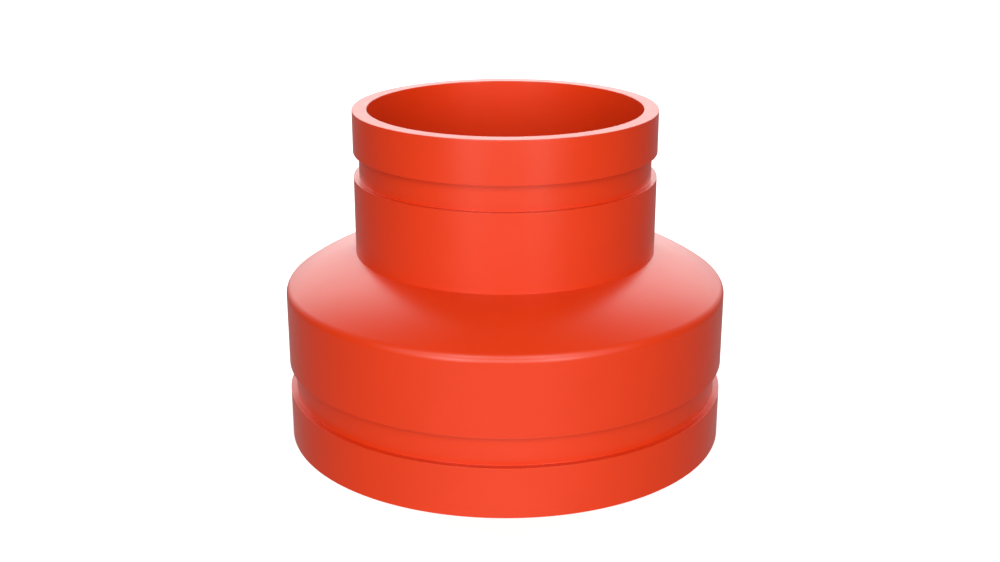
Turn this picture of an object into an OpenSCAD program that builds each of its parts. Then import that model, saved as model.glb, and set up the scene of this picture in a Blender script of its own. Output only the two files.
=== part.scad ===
// Grooved concentric reducer: a short steel pipe fitting with a 6 inch grooved end below and a
// 4 inch grooved end above. Two pipe nipples and a domed ring between them are welded into one
// pressure-tight body. Millimetres. The pipe axis is Z, and the origin is the middle of the
// large end's face, on which the fitting stands.

/* [Overall] */
// Height from the large end's face to the small end's face
height = 127; // [115:0.5:160]
// Wall thickness of both pipe nipples
pipe_wall = 5.5; // [5:0.1:6]
// Radius on the edges of the pipe ends
end_round = 0.3; // [0.2:0.1:1]
// Radius on the lips and in the corners of the grooves
groove_round = 0.2; // [0.1:0.1:0.6]

/* [Large end] */
// Outside diameter of the large end
large_od = 168.3; // [166:0.1:170]
// Gasket seat, from the pipe's end to the groove
large_seat = 19.05; // [14:0.05:22]
// Width of the groove
large_groove_w = 11.11; // [8:0.01:13]
// Depth of the groove
large_groove_d = 2.34; // [1.5:0.01:2.8]

/* [Small end] */
// Outside diameter of the small end
small_od = 114.3; // [112:0.1:118]
// Gasket seat, from the pipe's end to the groove
small_seat = 15.88; // [12:0.01:19]
// Width of the groove
small_groove_w = 9.53; // [7:0.01:12]
// Depth of the groove
small_groove_d = 2.11; // [1.5:0.01:2.6]

/* [Shoulder] */
// Height of the large end's straight side
side_h = 57.3; // [50:0.1:62]
// Radius of the corner between the side and the dome
corner_r = 4; // [3:0.1:5]
// Radius of the dome's outer face
dome_r = 73; // [70:0.5:80]
// Slope of the dome at the corner, in degrees
dome_slope = 36; // [34:0.5:38]
// Thickness of the domed ring
ring_t = 6.5; // [5.5:0.1:7]

/* [Welds] */
// Angle of each bevel in the corner weld, in degrees
bevel = 30; // [25:1:35]
// Square land that each bevel leaves at its root
land = 1.3; // [1:0.1:2]
// Gap between the two lands
root_gap = 1.2; // [0.8:0.1:1.6]
// Height of the root bead on the inside
root_bead = 0.4; // [0.1:0.1:0.4]
// Leg of the fillet weld inside the neck
fillet_leg = 5; // [3:0.5:6]
// Length of the small nipple below its fillet weld
stub = 1.5; // [1:0.5:4]

/* [Hidden] */
$fn = 180;
// Colour of the paint
enamel = [0.97, 0.31, 0.19];

large_r = large_od / 2;
small_r = small_od / 2;
large_bore_r = large_r - pipe_wall;
small_bore_r = small_r - pipe_wall;

corner_c = [large_r - corner_r, side_h];
dome_c = corner_c - (dome_r - corner_r) * [sin(dome_slope), cos(dome_slope)];
under_r = dome_r - ring_t;

// The dome is a ring of circular arcs about dome_c. These two find the slope of such an arc at a
// distance from the pipe axis, and the point on it that has a given slope.
function slope_at(arc_r, axis_distance) = asin((axis_distance - dome_c.x) / arc_r);
function on_dome(arc_r, slope) = dome_c + arc_r * [sin(slope), cos(slope)];

// Angle that a length takes up on an arc, in degrees
function span(length, arc_r) = length / arc_r * 180 / PI;

neck_slope = slope_at(dome_r, small_r);
hole_slope = slope_at(under_r, small_r);
wall_slope = slope_at(under_r, large_bore_r);
root_slope = wall_slope - span(root_gap, under_r);
toe_slope = root_slope - span((ring_t - land) * tan(bevel), dome_r);
bead_slope = root_slope - span(root_gap, under_r);
fillet_slope = slope_at(under_r, small_r + fillet_leg);
nipple_top = on_dome(under_r, wall_slope).y - root_gap / 2;
bevel_foot = nipple_top - (pipe_wall - land) * tan(bevel);
hole_z = on_dome(under_r, hole_slope).y;

// Points along the dome between two slopes, in equal steps
function dome_arc(arc_r, from, to, steps) =
    [for (i = [0:steps]) on_dome(arc_r, from + (to - from) * i / steps)];

// Points from a up to but not including b, on an arc that stands out to the left of a-b by rise
function bulge(a, b, rise, steps = 6) =
    let (half = norm(b - a) / 2,
         arc_r = (half * half + rise * rise) / (2 * rise),
         along = (b - a) / (2 * half),
         left = [-along.y, along.x],
         centre = (a + b) / 2 - (arc_r - rise) * left,
         sweep = asin(half / arc_r))
    [for (i = [0:steps - 1]) let (t = sweep * (2 * i / steps - 1))
        centre + arc_r * (sin(t) * along + cos(t) * left)];

function unit(v) = v / norm(v);

// Points that round corner b of the outline a, b, c with radius r
function rounded_corner(a, b, c, r, steps = 4) =
    let (u = unit(a - b),
         v = unit(c - b),
         half = acos(u * v) / 2,
         centre = b + unit(u + v) * r / sin(half),
         p = b + u * r / tan(half) - centre,
         q = b + v * r / tan(half) - centre,
         start = atan2(p.y, p.x),
         turn = atan2(p.x * q.y - p.y * q.x, p * q))
    [for (i = [0:steps]) let (t = start + turn * i / steps) centre + r * [cos(t), sin(t)]];

// An outline from corners given as [x, y, radius]; a radius of 0 leaves the corner sharp
function outline(corners) =
    let (n = len(corners), at = [for (c = corners) [c.x, c.y]])
    [for (i = [0:n - 1])
        each (corners[i][2] == 0 ? [at[i]]
            : rounded_corner(at[(i + n - 1) % n], at[i], at[(i + 1) % n], corners[i][2]))];

// One half of a section, turned about the pipe axis
module turned(points) {
    rotate_extrude() polygon(points);
}

// Corners of a cut groove in a pipe's side, between heights z_low and z_high
function groove(pipe_r, depth, z_low, z_high) = [
    [pipe_r, z_low, groove_round],
    [pipe_r - depth, z_low, groove_round],
    [pipe_r - depth, z_high, groove_round],
    [pipe_r, z_high, groove_round]];

// 6 inch pipe nipple: gasket seat and groove below, bevelled for the corner weld on top
module large_end_nipple() {
    color(enamel) turned(outline(concat(
        [[large_bore_r, 0, end_round], [large_r, 0, end_round]],
        groove(large_r, large_groove_d, large_seat, large_seat + large_groove_w),
        [[large_r, bevel_foot, 0], [large_bore_r + land, nipple_top, 0], [large_bore_r, nipple_top, 0]])));
}

// Weld between the large nipple and the ring, dressed on the outside to a round corner
module corner_weld() {
    color(enamel) turned(concat(
        [[large_bore_r, nipple_top], [large_bore_r + land, nipple_top], [large_r, bevel_foot]],
        [for (i = [0:9]) let (slope = 90 + (dome_slope - 90) * i / 9)
            corner_c + corner_r * [sin(slope), cos(slope)]],
        [for (i = [1:4]) on_dome(dome_r, dome_slope + (toe_slope - dome_slope) * i / 4)],
        [on_dome(under_r + land, root_slope), on_dome(under_r, root_slope)],
        bulge(on_dome(under_r, bead_slope), [large_bore_r, nipple_top], -root_bead)));
}

// Domed ring that closes the space between the two nipples
module domed_ring() {
    color(enamel) turned(concat(
        dome_arc(dome_r, toe_slope, neck_slope, 14),
        dome_arc(under_r, hole_slope, root_slope, 14),
        [on_dome(under_r + land, root_slope)]));
}

// Fillet weld inside, between the small nipple's stub and the underside of the ring
module neck_weld() {
    face = bulge([small_r, hole_z - fillet_leg], on_dome(under_r, fillet_slope), -fillet_leg / 12);
    color(enamel) turned(concat(face, dome_arc(under_r, fillet_slope, hole_slope, 3)));
}

// 4 inch pipe nipple: set through the ring, with the groove and gasket seat on top
module small_end_nipple() {
    bottom = hole_z - fillet_leg - stub;
    groove_top = height - small_seat;
    color(enamel) turned(outline(concat(
        [[small_bore_r, bottom, end_round], [small_r, bottom, end_round]],
        groove(small_r, small_groove_d, groove_top - small_groove_w, groove_top),
        [[small_r, height, end_round], [small_bore_r, height, end_round]])));
}

large_end_nipple();
corner_weld();
domed_ring();
neck_weld();
small_end_nipple();
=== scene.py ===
"""The looks of a grooved concentric reducer: one welded steel pipe fitting in orange-red enamel.

Every piece is round about the Z axis. Lengths are in metres, and places come from the CAD nodes'
boxes and from the few sizes below that a box doesn't give.
"""
import math

import bpy
import numpy as np
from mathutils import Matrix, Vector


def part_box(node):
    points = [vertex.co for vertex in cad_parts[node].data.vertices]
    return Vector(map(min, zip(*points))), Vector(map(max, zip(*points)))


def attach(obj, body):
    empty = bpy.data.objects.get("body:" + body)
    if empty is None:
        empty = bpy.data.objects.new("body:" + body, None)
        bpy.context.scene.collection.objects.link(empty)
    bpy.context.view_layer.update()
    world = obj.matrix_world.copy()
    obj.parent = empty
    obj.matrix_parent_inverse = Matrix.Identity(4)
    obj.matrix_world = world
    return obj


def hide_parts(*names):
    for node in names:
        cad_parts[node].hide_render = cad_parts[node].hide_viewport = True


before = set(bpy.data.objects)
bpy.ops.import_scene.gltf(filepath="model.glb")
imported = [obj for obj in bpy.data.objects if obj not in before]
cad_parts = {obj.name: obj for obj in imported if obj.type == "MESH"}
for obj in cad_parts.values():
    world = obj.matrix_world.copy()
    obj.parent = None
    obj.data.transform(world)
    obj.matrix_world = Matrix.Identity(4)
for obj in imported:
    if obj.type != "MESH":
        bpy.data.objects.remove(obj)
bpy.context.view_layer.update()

MM = 0.001

# Sizes of the fitting, as in the CAD source
pipe_wall = 5.5 * MM
end_round = 0.3 * MM
large_seat, large_groove_w, large_groove_d = 19.05 * MM, 11.11 * MM, 2.34 * MM
small_seat, small_groove_w, small_groove_d = 15.88 * MM, 9.53 * MM, 2.11 * MM
side_h = 57.3 * MM
corner_r = 4 * MM
dome_r = 73 * MM
dome_slope = math.radians(36)
ring_t = 6.5 * MM
land = 1.3 * MM
root_gap = 1.2 * MM
root_bead = 0.4 * MM
fillet_leg = 5 * MM
fillet_bulge = fillet_leg / 12
bevel = math.radians(30)

# Radius on the lips and in the corners of the grooves, finer than in the CAD source
groove_round = 0.12 * MM
# Distance from a rounded corner to the point that keeps its smooth shading off the flat face
SUPPORT = 0.05 * MM

# Steps along the arcs of the outlines
ROUND_STEPS = 6
DOME_STEPS = 24
SHORT_DOME_STEPS = 6
ROOT_STEPS = 8
FILLET_STEPS = 10
# Steps around the axis
SEGMENTS = 360
WELD_SEGMENTS = 960
# Edges that turn by more degrees than this stay sharp
SMOOTH_ANGLE = 38
WELD_SMOOTH_ANGLE = 50

# Ripples of the weld runs: how many there are around the axis, their height, and how far the
# middle of a ripple lags behind its ends, in ripples
ROOT_RIPPLES = (150, 0.25 * MM, 0.5)
FILLET_RIPPLES = (105, 0.4 * MM, 0.7)
# How unevenly they follow each other: size in ripples, waves around the axis, and phase
RIPPLE_WANDER = ((0.35, 5, 0.7), (0.25, 13, 2.1))
# Exponents: below 1, the first skews a ripple and the second keeps it high nearer to its ends
RIPPLE_SKEW = 0.6
RIPPLE_SPREAD = 0.7

# Enamel
PAINT_DEEP = (0.634, 0.0352, 0.0043)
PAINT_LIGHT = (0.648, 0.0360, 0.0045)
PAINT_IOR = 1.48
PAINT_ROUGHNESS = (0.285, 0.315)
# Heights of the orange peel, of the lumps in the metal below it and of the turning marks
PEEL = 0.002 * MM
PIPE_MOTTLE = 0.004 * MM
PLATE_MOTTLE = 0.005 * MM
TURNING_MARK = 0.006 * MM
# Turning marks fade out over these distances outside and inside the radius of a groove's floor
FADE_OUTSIDE = (0.1 * MM, 0.3 * MM)
FADE_INSIDE = (0.5 * MM, 0.3 * MM)

FLOOR_HALF = 6
FLOOR_GREY = 0.8
FLOOR_GLOW = 0.5
WHITE = (1, 1, 1, 1)
WARM = (1, 0.98, 0.86, 1)

CAMERA_PLACE = (-0.00196, -0.5082, 0.22945)
CAMERA_DIP = 18.63
CAMERA_LENS = 49.6
CAMERA_SENSOR = 36

large_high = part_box("large_end_nipple")[1]
small_low, small_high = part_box("small_end_nipple")
large_r = large_high.x
small_r = small_high.x
height = small_high.z
large_bore_r = large_r - pipe_wall
small_bore_r = small_r - pipe_wall
nipple_top = large_high.z
bevel_foot = nipple_top - (pipe_wall - land) * math.tan(bevel)


# ---------------------------------------- outlines in the (r, z) half plane

def vec(x, y):
    return np.array([x, y], float)


def arc(centre, radius, start, end, steps):
    """Points on a circle, with angles from the Z axis towards +r."""
    angles = np.linspace(start, end, steps + 1)
    return [centre + radius * vec(math.sin(a), math.cos(a)) for a in angles]


corner_c = vec(large_r - corner_r, side_h)
dome_c = corner_c - (dome_r - corner_r) * vec(math.sin(dome_slope), math.cos(dome_slope))
under_r = dome_r - ring_t


def slope_at(arc_r, r):
    """Slope of an arc about dome_c at distance r from the axis."""
    return math.asin((r - dome_c[0]) / arc_r)


def on_dome(arc_r, slope):
    return dome_c + arc_r * vec(math.sin(slope), math.cos(slope))


def dome_arc(arc_r, start, end, steps):
    """Points along the dome between two slopes."""
    return [on_dome(arc_r, s) for s in np.linspace(start, end, steps + 1)]


neck_slope = slope_at(dome_r, small_r)
hole_slope = slope_at(under_r, small_r)
root_slope = slope_at(under_r, large_bore_r) - root_gap / under_r
toe_slope = root_slope - (ring_t - land) * math.tan(bevel) / dome_r
bead_slope = root_slope - root_gap / under_r
fillet_slope = slope_at(under_r, small_r + fillet_leg)


def rounded(corners):
    """A closed outline through corners (r, z, rounding radius), with arcs for the round ones.

    Two more points close to each arc keep its smooth shading off the flat faces.
    """
    points = []
    count = len(corners)
    for i, (x, y, radius) in enumerate(corners):
        b = vec(x, y)
        if radius == 0:
            points.append(b)
            continue
        u = vec(*corners[i - 1][:2]) - b
        v = vec(*corners[(i + 1) % count][:2]) - b
        u /= np.linalg.norm(u)
        v /= np.linalg.norm(v)
        half = math.acos(np.dot(u, v)) / 2
        middle = (u + v) / np.linalg.norm(u + v)
        centre = b + middle * radius / math.sin(half)
        reach = radius / math.tan(half)
        p = b + u * reach - centre
        q = b + v * reach - centre
        start = math.atan2(p[1], p[0])
        turn = math.atan2(p[0] * q[1] - p[1] * q[0], np.dot(p, q))
        points.append(b + u * (reach + SUPPORT))
        for k in range(ROUND_STEPS + 1):
            t = start + turn * k / ROUND_STEPS
            points.append(centre + radius * vec(math.cos(t), math.sin(t)))
        points.append(b + v * (reach + SUPPORT))
    return points


def groove(pipe_r, depth, z_low, z_high):
    return [(pipe_r, z_low, groove_round), (pipe_r - depth, z_low, groove_round),
            (pipe_r - depth, z_high, groove_round), (pipe_r, z_high, groove_round)]


def bead_face(a, b, rise, steps):
    """Points from a to b on an arc that stands out to the right of a-b by rise."""
    half = np.linalg.norm(b - a) / 2
    radius = (half * half + rise * rise) / (2 * rise)
    along = (b - a) / (2 * half)
    right = vec(along[1], -along[0])
    centre = (a + b) / 2 - (radius - rise) * right
    sweep = math.asin(half / radius)
    return [centre + radius * (math.sin(t) * along + math.cos(t) * right)
            for t in np.linspace(-sweep, sweep, steps + 1)]


# ---------------------------------------- meshes

def lathe(name, outline, segments=SEGMENTS, smooth_angle=SMOOTH_ANGLE, shape=None):
    """Turns a closed outline about Z. shape(points, angle) may move its points at an angle."""
    verts = []
    count = len(outline)
    base = np.array(outline)
    for s in range(segments):
        a = 2 * math.pi * s / segments
        points = shape(base.copy(), a) if shape else base
        verts += [(p[0] * math.cos(a), p[0] * math.sin(a), p[1]) for p in points]
    faces = []
    for s in range(segments):
        t = (s + 1) % segments
        for i in range(count):
            j = (i + 1) % count
            faces.append((s * count + i, s * count + j, t * count + j, t * count + i))
    mesh = bpy.data.meshes.new(name)
    mesh.from_pydata(verts, [], faces)
    mesh.update()
    mesh.shade_smooth()
    mesh.set_sharp_from_angle(angle=math.radians(smooth_angle))
    piece = bpy.data.objects.new(name, mesh)
    bpy.context.collection.objects.link(piece)
    return piece


def ripples(first, last, count, ripple_height, bow):
    """Shape for lathe: the crescent ripples of a weld run on outline points first to last."""
    def shape(points, angle):
        around = angle / (2 * math.pi)
        uneven = sum(size * math.sin(waves * angle + phase)
                     for size, waves, phase in RIPPLE_WANDER)
        along = points[last] - points[first]
        along /= np.linalg.norm(along)
        out = vec(along[1], -along[0])
        for i in range(first + 1, last):
            across = (i - first) / (last - first)
            crest = math.sin(math.pi * across)
            phase = (around * count + uneven + bow * (1 - crest)) % 1
            profile = math.sin(math.pi * phase ** RIPPLE_SKEW) - 0.5
            points[i] += out * ripple_height * profile * crest ** RIPPLE_SPREAD
        return points
    return shape


def finished(piece, node, material):
    piece.data.materials.append(material)
    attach(piece, "root")
    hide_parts(node)


# ---------------------------------------- materials

def enamel(name, mottle, groove_floor=None):
    """Orange-red enamel over metal with lumps of height mottle.

    groove_floor is the radius of a groove's floor, on which fine turning marks show through.
    The noises' scales are per metre.
    """
    material = bpy.data.materials.new(name)
    material.use_nodes = True
    nodes, links = material.node_tree.nodes, material.node_tree.links
    shader = nodes["Principled BSDF"]
    shader.inputs["IOR"].default_value = PAINT_IOR
    coord = nodes.new("ShaderNodeTexCoord").outputs["Object"]

    def noise(scale, detail):
        node = nodes.new("ShaderNodeTexNoise")
        links.new(coord, node.inputs["Vector"])
        node.inputs["Scale"].default_value = scale
        node.inputs["Detail"].default_value = detail
        return node.outputs["Fac"]

    def ranged(value, low, high, to_low, to_high):
        node = nodes.new("ShaderNodeMapRange")
        links.new(value, node.inputs["Value"])
        node.inputs["From Min"].default_value = low
        node.inputs["From Max"].default_value = high
        node.inputs["To Min"].default_value = to_low
        node.inputs["To Max"].default_value = to_high
        return node.outputs["Result"]

    def bump(bump_height, distance, normal=None):
        node = nodes.new("ShaderNodeBump")
        links.new(bump_height, node.inputs["Height"])
        node.inputs["Distance"].default_value = distance
        if normal:
            links.new(normal, node.inputs["Normal"])
        return node.outputs["Normal"]

    def from_axis():
        """Distance from the Z axis."""
        split = nodes.new("ShaderNodeSeparateXYZ")
        links.new(coord, split.inputs[0])
        flat = nodes.new("ShaderNodeCombineXYZ")
        links.new(split.outputs["X"], flat.inputs["X"])
        links.new(split.outputs["Y"], flat.inputs["Y"])
        length = nodes.new("ShaderNodeVectorMath")
        length.operation = "LENGTH"
        links.new(flat.outputs[0], length.inputs[0])
        return length.outputs["Value"]

    def turning_marks():
        """Fine rings around the axis, on the groove's floor only."""
        r = from_axis()
        below_lip = ranged(r, groove_floor + FADE_OUTSIDE[0], groove_floor + FADE_OUTSIDE[1], 1, 0)
        above_bore = ranged(r, groove_floor - FADE_INSIDE[0], groove_floor - FADE_INSIDE[1], 0, 1)
        marks = nodes.new("ShaderNodeTexWave")
        marks.bands_direction = "Z"
        links.new(coord, marks.inputs["Vector"])
        marks.inputs["Scale"].default_value = 500
        marks.inputs["Distortion"].default_value = 0.6
        marks.inputs["Detail Scale"].default_value = 60
        value = marks.outputs["Fac"]
        for mask in (below_lip, above_bore):
            product = nodes.new("ShaderNodeMath")
            product.operation = "MULTIPLY"
            links.new(value, product.inputs[0])
            links.new(mask, product.inputs[1])
            value = product.outputs[0]
        return value

    tint = nodes.new("ShaderNodeMix")
    tint.data_type = "RGBA"
    links.new(ranged(noise(scale=45, detail=2), 0.35, 0.65, 0, 1), tint.inputs["Factor"])
    tint.inputs["A"].default_value = (*PAINT_DEEP, 1)
    tint.inputs["B"].default_value = (*PAINT_LIGHT, 1)
    links.new(tint.outputs["Result"], shader.inputs["Base Color"])
    links.new(ranged(noise(scale=120, detail=3), 0.3, 0.7, *PAINT_ROUGHNESS),
              shader.inputs["Roughness"])

    normal = bump(noise(scale=260, detail=2), mottle)
    normal = bump(noise(scale=1100, detail=1), PEEL, normal)
    if groove_floor:
        normal = bump(turning_marks(), TURNING_MARK, normal)
    links.new(normal, shader.inputs["Normal"])
    return material


on_large_pipe = enamel("enamel_large_pipe", PIPE_MOTTLE, large_r - large_groove_d)
on_small_pipe = enamel("enamel_small_pipe", PIPE_MOTTLE, small_r - small_groove_d)
on_ring = enamel("enamel_ring", PLATE_MOTTLE)
on_weld = enamel("enamel_weld", PLATE_MOTTLE)


# ---------------------------------------- the five pieces

large_nipple = lathe("large_end_nipple_body", rounded(
    [(large_bore_r, 0, end_round), (large_r, 0, end_round)]
    + groove(large_r, large_groove_d, large_seat, large_seat + large_groove_w)
    + [(large_r, bevel_foot, 0), (large_bore_r + land, nipple_top, 0),
       (large_bore_r, nipple_top, 0)]))
finished(large_nipple, "large_end_nipple", on_large_pipe)

groove_top = height - small_seat
small_nipple = lathe("small_end_nipple_body", rounded(
    [(small_bore_r, small_low.z, end_round), (small_r, small_low.z, end_round)]
    + groove(small_r, small_groove_d, groove_top - small_groove_w, groove_top)
    + [(small_r, height, end_round), (small_bore_r, height, end_round)]))
finished(small_nipple, "small_end_nipple", on_small_pipe)

ring = lathe("domed_ring_body",
             dome_arc(dome_r, toe_slope, neck_slope, DOME_STEPS)
             + dome_arc(under_r, hole_slope, root_slope, DOME_STEPS)
             + [on_dome(under_r + land, root_slope)])
finished(ring, "domed_ring", on_ring)

root = bead_face(on_dome(under_r, bead_slope), vec(large_bore_r, nipple_top), root_bead,
                 ROOT_STEPS)
corner_outline = (
    [vec(large_bore_r + land, nipple_top), vec(large_r, bevel_foot),
     vec(large_r, side_h - SUPPORT)]
    + arc(corner_c, corner_r, math.pi / 2, dome_slope, DOME_STEPS)
    + dome_arc(dome_r, dome_slope, toe_slope, SHORT_DOME_STEPS)[1:]
    + [on_dome(under_r + land, root_slope), on_dome(under_r, root_slope)] + root)
weld = lathe("corner_weld_body", corner_outline, WELD_SEGMENTS, WELD_SMOOTH_ANGLE,
             ripples(len(corner_outline) - len(root), len(corner_outline) - 1, *ROOT_RIPPLES))
finished(weld, "corner_weld", on_weld)

fillet_foot = vec(small_r, on_dome(under_r, hole_slope)[1] - fillet_leg)
fillet_face = bead_face(fillet_foot, on_dome(under_r, fillet_slope), fillet_bulge, FILLET_STEPS)
fillet = lathe("neck_weld_body",
               fillet_face + dome_arc(under_r, fillet_slope, hole_slope, SHORT_DOME_STEPS)[1:],
               WELD_SEGMENTS, WELD_SMOOTH_ANGLE,
               ripples(0, len(fillet_face) - 1, *FILLET_RIPPLES))
finished(fillet, "neck_weld", on_weld)


# ---------------------------------------- floor, light and camera

def floor():
    """A pale floor, bright enough to lose the fitting's shade, that throws no light on it."""
    mesh = bpy.data.meshes.new("floor")
    corners = [(-1, -1), (1, -1), (1, 1), (-1, 1)]
    mesh.from_pydata([(x * FLOOR_HALF, y * FLOOR_HALF, 0) for x, y in corners], [],
                     [(0, 1, 2, 3)])
    obj = bpy.data.objects.new("floor", mesh)
    bpy.context.collection.objects.link(obj)
    material = bpy.data.materials.new("floor")
    material.use_nodes = True
    shader = material.node_tree.nodes["Principled BSDF"]
    shader.inputs["Base Color"].default_value = (FLOOR_GREY, FLOOR_GREY, FLOOR_GREY, 1)
    shader.inputs["Roughness"].default_value = 0.9
    shader.inputs["Specular IOR Level"].default_value = 0
    shader.inputs["Emission Color"].default_value = WHITE
    shader.inputs["Emission Strength"].default_value = FLOOR_GLOW
    mesh.materials.append(material)
    obj.visible_glossy = False
    obj.visible_diffuse = False


def mirrored(*lights):
    """Each light on the left and again on the right."""
    return tuple((side * azimuth, *rest) for azimuth, *rest in lights for side in (-1, 1))


# Soft lights around the fitting: azimuth (0 in front, 90 to the right), elevation, softness
# (a lower power is softer) and strength. The two on the middle line in front are a little warmer.
FRONT_LIGHTS = mirrored((25, 6, 50, 8.6), (50, 12, 50, 1.1), (28, 28, 50, 0.9),
                        (50, 30, 50, 1.5), (22, 42, 60, 7.0))
WARM_FRONT_LIGHTS = ((0, 9, 50, 5.0), (0, 42, 60, 1.2))
TABLE_GLOW = ((0, -50, 16, 1.35), (0, -80, 16, 3.9),
              *mirrored((45, -50, 16, 0.34), (160, -30, 16, 0.2)))
BACK_LIGHTS = (*mirrored((148, 20, 16, 1.85), (155, 42, 16, 2.1)), (180, 4, 16, 2.4),
               *mirrored((110, 42, 16, 0.3)))


def sky():
    """The lights, in a dim grey room that the camera sees as plain white."""
    world = bpy.data.worlds.new("studio")
    bpy.context.scene.world = world
    world.use_nodes = True
    nodes, links = world.node_tree.nodes, world.node_tree.links
    direction = nodes.new("ShaderNodeTexCoord").outputs["Generated"]
    split = nodes.new("ShaderNodeSeparateXYZ")
    links.new(direction, split.inputs[0])

    def math_node(operation, *values):
        """A math node whose inputs are numbers or other nodes' outputs."""
        node = nodes.new("ShaderNodeMath")
        node.operation = operation
        for slot, value in zip(node.inputs, values):
            if isinstance(value, (int, float)):
                slot.default_value = value
            else:
                links.new(value, slot)
        return node.outputs[0]

    def light(azimuth, elevation, softness, strength):
        a, e = math.radians(azimuth), math.radians(elevation)
        dot = nodes.new("ShaderNodeVectorMath")
        dot.operation = "DOT_PRODUCT"
        links.new(direction, dot.inputs[0])
        dot.inputs[1].default_value = (
            math.sin(a) * math.cos(e), -math.cos(a) * math.cos(e), math.sin(e))
        cosine = math_node("MAXIMUM", dot.outputs["Value"], 0.0)
        return math_node("MULTIPLY", math_node("POWER", cosine, softness), strength)

    def added(lights, total):
        for values in lights:
            total = math_node("ADD", total, light(*values))
        return total

    def rise(low, high, below, above):
        """A value that goes from below to above as a direction's Z goes from low to high."""
        node = nodes.new("ShaderNodeMapRange")
        node.interpolation_type = "SMOOTHSTEP"
        links.new(split.outputs["Z"], node.inputs["Value"])
        node.inputs["From Min"].default_value = low
        node.inputs["From Max"].default_value = high
        node.inputs["To Min"].default_value = below
        node.inputs["To Max"].default_value = above
        return node.outputs["Result"]

    def background(strength, colour):
        node = nodes.new("ShaderNodeBackground")
        node.inputs["Color"].default_value = colour
        links.new(strength, node.inputs["Strength"])
        return node.outputs[0]

    above_horizon = rise(low=-0.3, high=-0.02, below=0.0, above=1.0)
    back = math_node("MULTIPLY", added(BACK_LIGHTS, 0.0), above_horizon)
    room = rise(low=-0.4, high=0.0, below=0.2, above=0.03)
    neutral = added(FRONT_LIGHTS + TABLE_GLOW, math_node("ADD", back, room))
    lit = nodes.new("ShaderNodeAddShader")
    links.new(background(neutral, WHITE), lit.inputs[0])
    links.new(background(added(WARM_FRONT_LIGHTS, 0.0), WARM), lit.inputs[1])

    path = nodes.new("ShaderNodeLightPath")
    seen = nodes.new("ShaderNodeMixShader")
    links.new(path.outputs["Is Camera Ray"], seen.inputs["Fac"])
    links.new(lit.outputs[0], seen.inputs[1])
    plain = nodes["Background"]
    plain.inputs["Color"].default_value = WHITE
    plain.inputs["Strength"].default_value = 1
    links.new(plain.outputs[0], seen.inputs[2])
    links.new(seen.outputs[0], nodes["World Output"].inputs["Surface"])


def camera():
    data = bpy.data.cameras.new("camera")
    data.sensor_width = CAMERA_SENSOR
    data.lens = CAMERA_LENS
    obj = bpy.data.objects.new("camera", data)
    bpy.context.collection.objects.link(obj)
    obj.location = CAMERA_PLACE
    obj.rotation_euler = (math.radians(90 - CAMERA_DIP), 0, 0)
    bpy.context.scene.camera = obj


floor()
sky()
camera()
bpy.context.scene.view_settings.view_transform = "Standard"
